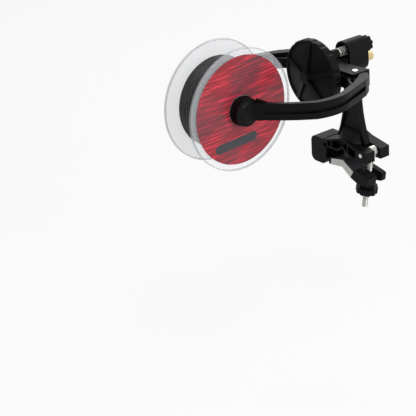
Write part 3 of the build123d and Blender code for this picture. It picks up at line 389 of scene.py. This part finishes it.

# ---- arms ----
# Two mirrored nylon mouldings, thin rails with a channel along the outside. Handling has
# polished them a little more than the rest; their darker tone is painted shade.
# the darker tones are painted shade; the lower roughness is the polish
arm_nylon = moulded_nylon("polished_nylon_painted_shade", ("#060607", "#0b0c0d"), 0.4,
                          grain_mm=0.3, grain_height_mm=0.03)
for side in ("right", "left"):
    rounded(f"{side}_arm", f"{side}_arm", arm_nylon, 0.6, 3)

# ---- cones ----
# Ribbed nylon noses with a toothed rim, free on steel pins in the arms.
for side in ("right", "left"):
    rounded(f"{side}_cone", f"{side}_cone", nylon, 0.25)
    finish_node(f"{side}_cone_pin", zinc)

# ---- pressure plate and star knob ----
# A smooth disc that pushes the arms' lobes, and a large five-ribbed knob on the rod.
rounded("thrust_washer", "thrust_washer", nylon, 0.25)
rounded("tension_knob", "tension_knob", nylon, 0.45)
finish_node("tension_knob_insert", brass)

# ---- lock: plunger, spring and knob ----
# A dark steel pin with a collar, pushed to the crossbar by a coil spring of music wire.
black_steel = turned_metal("dark_steel", ("#1c1c1d", "#2b2b2c"), 0.36)
finish_node("lock_plunger", black_steel)
rounded("lock_knob", "lock", nylon, 0.5)


def wire_piece(name, points, radius_mm, material, body, sides=3):
    """A round wire through points, as a curve with a bevel."""
    route = bpy.data.curves.new(name, "CURVE")
    route.dimensions = "3D"
    route.bevel_depth = radius_mm * MM
    route.bevel_resolution = sides
    route.use_fill_caps = True
    strand = route.splines.new("POLY")
    strand.points.add(len(points) - 1)
    for point, place in zip(strand.points, points):
        point.co = (*place, 1.0)
    strand.use_smooth = True
    route.materials.append(material)
    piece = bpy.data.objects.new(name, route)
    bpy.context.scene.collection.objects.link(piece)
    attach(piece, body)
    return piece


spring_low, spring_high = -16.4, -6.6    # the spring's ends along the plunger, in mm
spring_turns, spring_steps = 6, 36
dead_turn, live_turns = 0.75, 4.5        # closed part at each end, and the open coils
coil_radius, spring_half_end = 3.5, 0.45
lock_height = 91.5
spring_points = []
for step in range(0, spring_turns * spring_steps + 1):
    turns = step / spring_steps
    share = min(1.0, max(0.0, (turns - dead_turn) / live_turns))
    along = spring_low + spring_half_end + (spring_high - spring_low - 2 * spring_half_end) * share
    across = coil_radius * math.sin(2 * math.pi * turns)
    height = lock_height + coil_radius * math.cos(2 * math.pi * turns)
    spring_points.append((across * MM, along * MM, height * MM))
spring_curve = wire_piece("plunger_spring", spring_points, 0.38, zinc, "stand")
spring_curve_now = spring_curve.evaluated_get(bpy.context.evaluated_depsgraph_get())
spring_mesh = bpy.data.meshes.new_from_object(spring_curve_now)
bpy.data.objects.remove(spring_curve)
spring_mesh.materials.clear()
spring = mesh_piece("plunger_spring", spring_mesh, zinc, "stand")
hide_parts("lock_spring")
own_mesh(spring)

# ---- line spool: core and flanges ----
# Clear polystyrene mouldings. They are slightly milky, so that black line looks grey through
# them. Each flange has a thicker bead round its edge, where the light gathers.
clear, clear_tree, clear_out = new_material("clear_polystyrene")
clear_skin = add_node(clear_tree, "ShaderNodeBsdfPrincipled",
                      {"Base Color": linear("#eceff3"), "Roughness": 0.16, "IOR": 1.59,
                       "Alpha": 0.22})
clear_tree.links.new(clear_skin.outputs["BSDF"], clear_out.inputs["Surface"])
spool_centre = Vector((0, -132.9, 80)) * MM
spool_way = Vector((1, 0, 0))
finish_node("spool_core", clear)
edge, edge_tree, edge_out = new_material("clear_polystyrene_edge")
edge_skin = add_node(edge_tree, "ShaderNodeBsdfPrincipled",
                     {"Base Color": linear("#c0c3c7"), "Roughness": 0.25, "IOR": 1.59,
                      "Alpha": 0.4})
edge_tree.links.new(edge_skin.outputs["BSDF"], edge_out.inputs["Surface"])
plate_profile = [(11.25, 15.1), (11.25, 16.7), (48.3, 16.7), (48.3, 15.1)]
bead_profile = [(48.3, 14.9), (48.3, 17.0), (48.7, 17.2), (49.0, 17.1),
                (49.2, 16.8), (49.2, 15.0), (49.0, 14.7), (48.7, 14.6)]
flange_sides = 160
for side, sign in (("right", 1), ("left", -1)):
    way = spool_way * sign
    plate = turned_ring(f"flange_{side}", spool_centre, way, plate_profile, flange_sides)
    flange = mesh_piece(f"flange_{side}", plate, clear, "spool")
    bead = turned_ring(f"flange_rim_{side}", spool_centre, way, bead_profile, flange_sides)
    mesh_piece(f"flange_rim_{side}", bead, edge, "spool")
    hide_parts(f"spool_flange_{side}")

# ---- label ----
# Gloss-laminated paper on the near flange, printed with slanting brushed streaks, bright red in
# some patches and dull in others. Below the middle it has a plain dark bar with round ends.
streaks, patches = 760.0, 38.0    # per metre: streaks 1.3 mm apart, patches of about 26 mm
bar_half, bar_radius = 17 * MM, 4.0 * MM
bar_middle = spool_centre + Vector((0, -8, -25)) * MM
label, label_tree, label_out = new_material("laminated_label")
label_place = label_tree.nodes.new("ShaderNodeTexCoord").outputs["Object"]
label_turn = add_node(label_tree, "ShaderNodeVectorRotate",
                      {"Vector": label_place, "Center": tuple(spool_centre), "Axis": (1, 0, 0),
                       "Angle": math.radians(-3)})
label_long = add_node(label_tree, "ShaderNodeMapping",
                      {"Vector": label_turn.outputs["Vector"], "Scale": (1, 0.05, 1)})
label_streak = add_node(label_tree, "ShaderNodeTexNoise",
                        {"Vector": label_long.outputs["Vector"], "Scale": streaks,
                         "Detail": 2.0, "Roughness": 0.5, "Distortion": 0.3})
label_cloud = add_node(label_tree, "ShaderNodeTexNoise",
                       {"Vector": label_turn.outputs["Vector"], "Scale": patches, "Detail": 2.0})
label_ramp = add_node(label_tree, "ShaderNodeMapRange",
                      {"Value": label_streak.outputs["Fac"], "From Min": 0.47, "From Max": 0.66})
label_patch = add_node(label_tree, "ShaderNodeMapRange",
                       {"Value": label_cloud.outputs["Fac"], "From Min": 0.4, "From Max": 0.62})
label_red = add_node(label_tree, "ShaderNodeMix",
                     {"Factor": label_ramp.outputs["Result"], "A": linear("#8e1b29"),
                      "B": linear("#e23349")}, data_type="RGBA")
label_dim = add_node(label_tree, "ShaderNodeMix",
                     {"Factor": label_ramp.outputs["Result"], "A": linear("#6c2c35"),
                      "B": linear("#b52f40")}, data_type="RGBA")
label_shade = add_node(label_tree, "ShaderNodeMix",
                       {"Factor": label_patch.outputs["Result"],
                        "A": label_red.outputs["Result"], "B": label_dim.outputs["Result"]},
                       data_type="RGBA")
# the bar is every place nearer than its radius to a short line along the label
label_axes = add_node(label_tree, "ShaderNodeSeparateXYZ",
                      {"Vector": label_turn.outputs["Vector"]})
bar_along = add_node(label_tree, "ShaderNodeMath",
                     {0: label_axes.outputs["Y"], 1: bar_middle.y}, operation="SUBTRACT")
bar_away = add_node(label_tree, "ShaderNodeMath", {0: bar_along.outputs[0]}, operation="ABSOLUTE")
bar_past = add_node(label_tree, "ShaderNodeMath", {0: bar_away.outputs[0], 1: bar_half},
                    operation="SUBTRACT")
bar_end = add_node(label_tree, "ShaderNodeMath", {0: bar_past.outputs[0], 1: 0.0},
                   operation="MAXIMUM")
bar_across = add_node(label_tree, "ShaderNodeMath",
                      {0: label_axes.outputs["Z"], 1: bar_middle.z}, operation="SUBTRACT")
bar_offset = add_node(label_tree, "ShaderNodeCombineXYZ",
                      {"X": bar_end.outputs[0], "Y": bar_across.outputs[0]})
bar_reach = add_node(label_tree, "ShaderNodeVectorMath", {0: bar_offset.outputs[0]},
                     operation="LENGTH")
bar_inside = add_node(label_tree, "ShaderNodeMapRange",
                      {"Value": bar_reach.outputs["Value"], "From Min": bar_radius - 0.3 * MM,
                       "From Max": bar_radius, "To Min": 1.0, "To Max": 0.0})
label_print = add_node(label_tree, "ShaderNodeMix",
                       {"Factor": bar_inside.outputs["Result"],
                        "A": label_shade.outputs["Result"], "B": linear("#34333a")},
                       data_type="RGBA")
label_skin = add_node(label_tree, "ShaderNodeBsdfPrincipled",
                      {"Base Color": label_print.outputs["Result"], "Roughness": 0.4})
label_tree.links.new(label_skin.outputs["BSDF"], label_out.inputs["Surface"])
finish_node("spool_label", label)

# ---- line ----
# Black braided line, wound level with some turns crossing over. The level turns are drawn 1 mm
# thick and the crossing ones 0.56 mm, coarser than real, so that they show.
weave = 420.0    # per metre, uneven dye in patches of about 2.4 mm
braid, braid_tree, braid_out = new_material("braided_polyethylene")
braid_place = braid_tree.nodes.new("ShaderNodeTexCoord").outputs["Object"]
braid_noise = add_node(braid_tree, "ShaderNodeTexNoise",
                       {"Vector": braid_place, "Scale": weave, "Detail": 3.0})
braid_shade = add_node(braid_tree, "ShaderNodeMix",
                       {"Factor": braid_noise.outputs["Fac"], "A": linear("#060607"),
                        "B": linear("#131314")}, data_type="RGBA")
braid_skin = add_node(braid_tree, "ShaderNodeBsdfPrincipled",
                      {"Base Color": braid_shade.outputs["Result"], "Roughness": 0.5})
braid_tree.links.new(braid_skin.outputs["BSDF"], braid_out.inputs["Surface"])
# painted highlight: the crossing turns are a lighter, glossier copy of the braid, so they read as
# lit strands
painted_highlight_braid, painted_highlight_tree, painted_highlight_out = new_material("braid_painted_highlight")
painted_highlight_skin = add_node(painted_highlight_tree, "ShaderNodeBsdfPrincipled",
                      {"Base Color": linear("#2a2b2e"), "Roughness": 0.36})
painted_highlight_tree.links.new(painted_highlight_skin.outputs["BSDF"], painted_highlight_out.inputs["Surface"])
bed_profile = [(17.05, -15.05), (36.0, -15.05), (36.0, 15.05), (17.05, 15.05)]
bed_ring = turned_ring("line_bed", spool_centre, spool_way, bed_profile, 128)
bed = mesh_piece("line_bed", bed_ring, braid, "spool")


def wound(name, turns, traverse, radius_mm, strand_mm, material):
    """One strand wound round the spool; traverse gives its place along the axis, in mm."""
    steps_per_turn = 60
    unevenness_mm, unevenness_rate = 0.1, 2.3
    points = []
    for step in range(int(turns * steps_per_turn) + 1):
        turn = step / steps_per_turn
        angle = 2 * math.pi * turn
        reach = radius_mm + unevenness_mm * math.sin(turn * unevenness_rate)
        place = Vector((traverse(turn), reach * math.cos(angle), reach * math.sin(angle)))
        points.append(spool_centre + place * MM)
    return wire_piece(name, points, strand_mm, material, "spool", 2)


def level_place(turn):
    """Steady traverse from one flange to the other."""
    return -level_reach + 2 * level_reach * turn / level_turns


def crossing_place(turn):
    """Traverse to and fro between the flanges, starting a tenth of the way on."""
    stage = (turn / crossing_period + 0.1) % 1.0
    return crossing_reach * (2 * abs(2 * stage - 1) - 1)


level_turns, level_reach = 26, 14.5             # reach is the half width wound, in mm
crossing_turns, crossing_reach = 22, 14.2
crossing_period = 4.4                           # turns of the spool for over and back
level = wound("line_level_turns", level_turns, level_place, 36.0, 0.5, braid)
wound("line_crossing_turns", crossing_turns, crossing_place, 36.3, 0.28, painted_highlight_braid)
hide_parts("line_winding")
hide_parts("line_core")
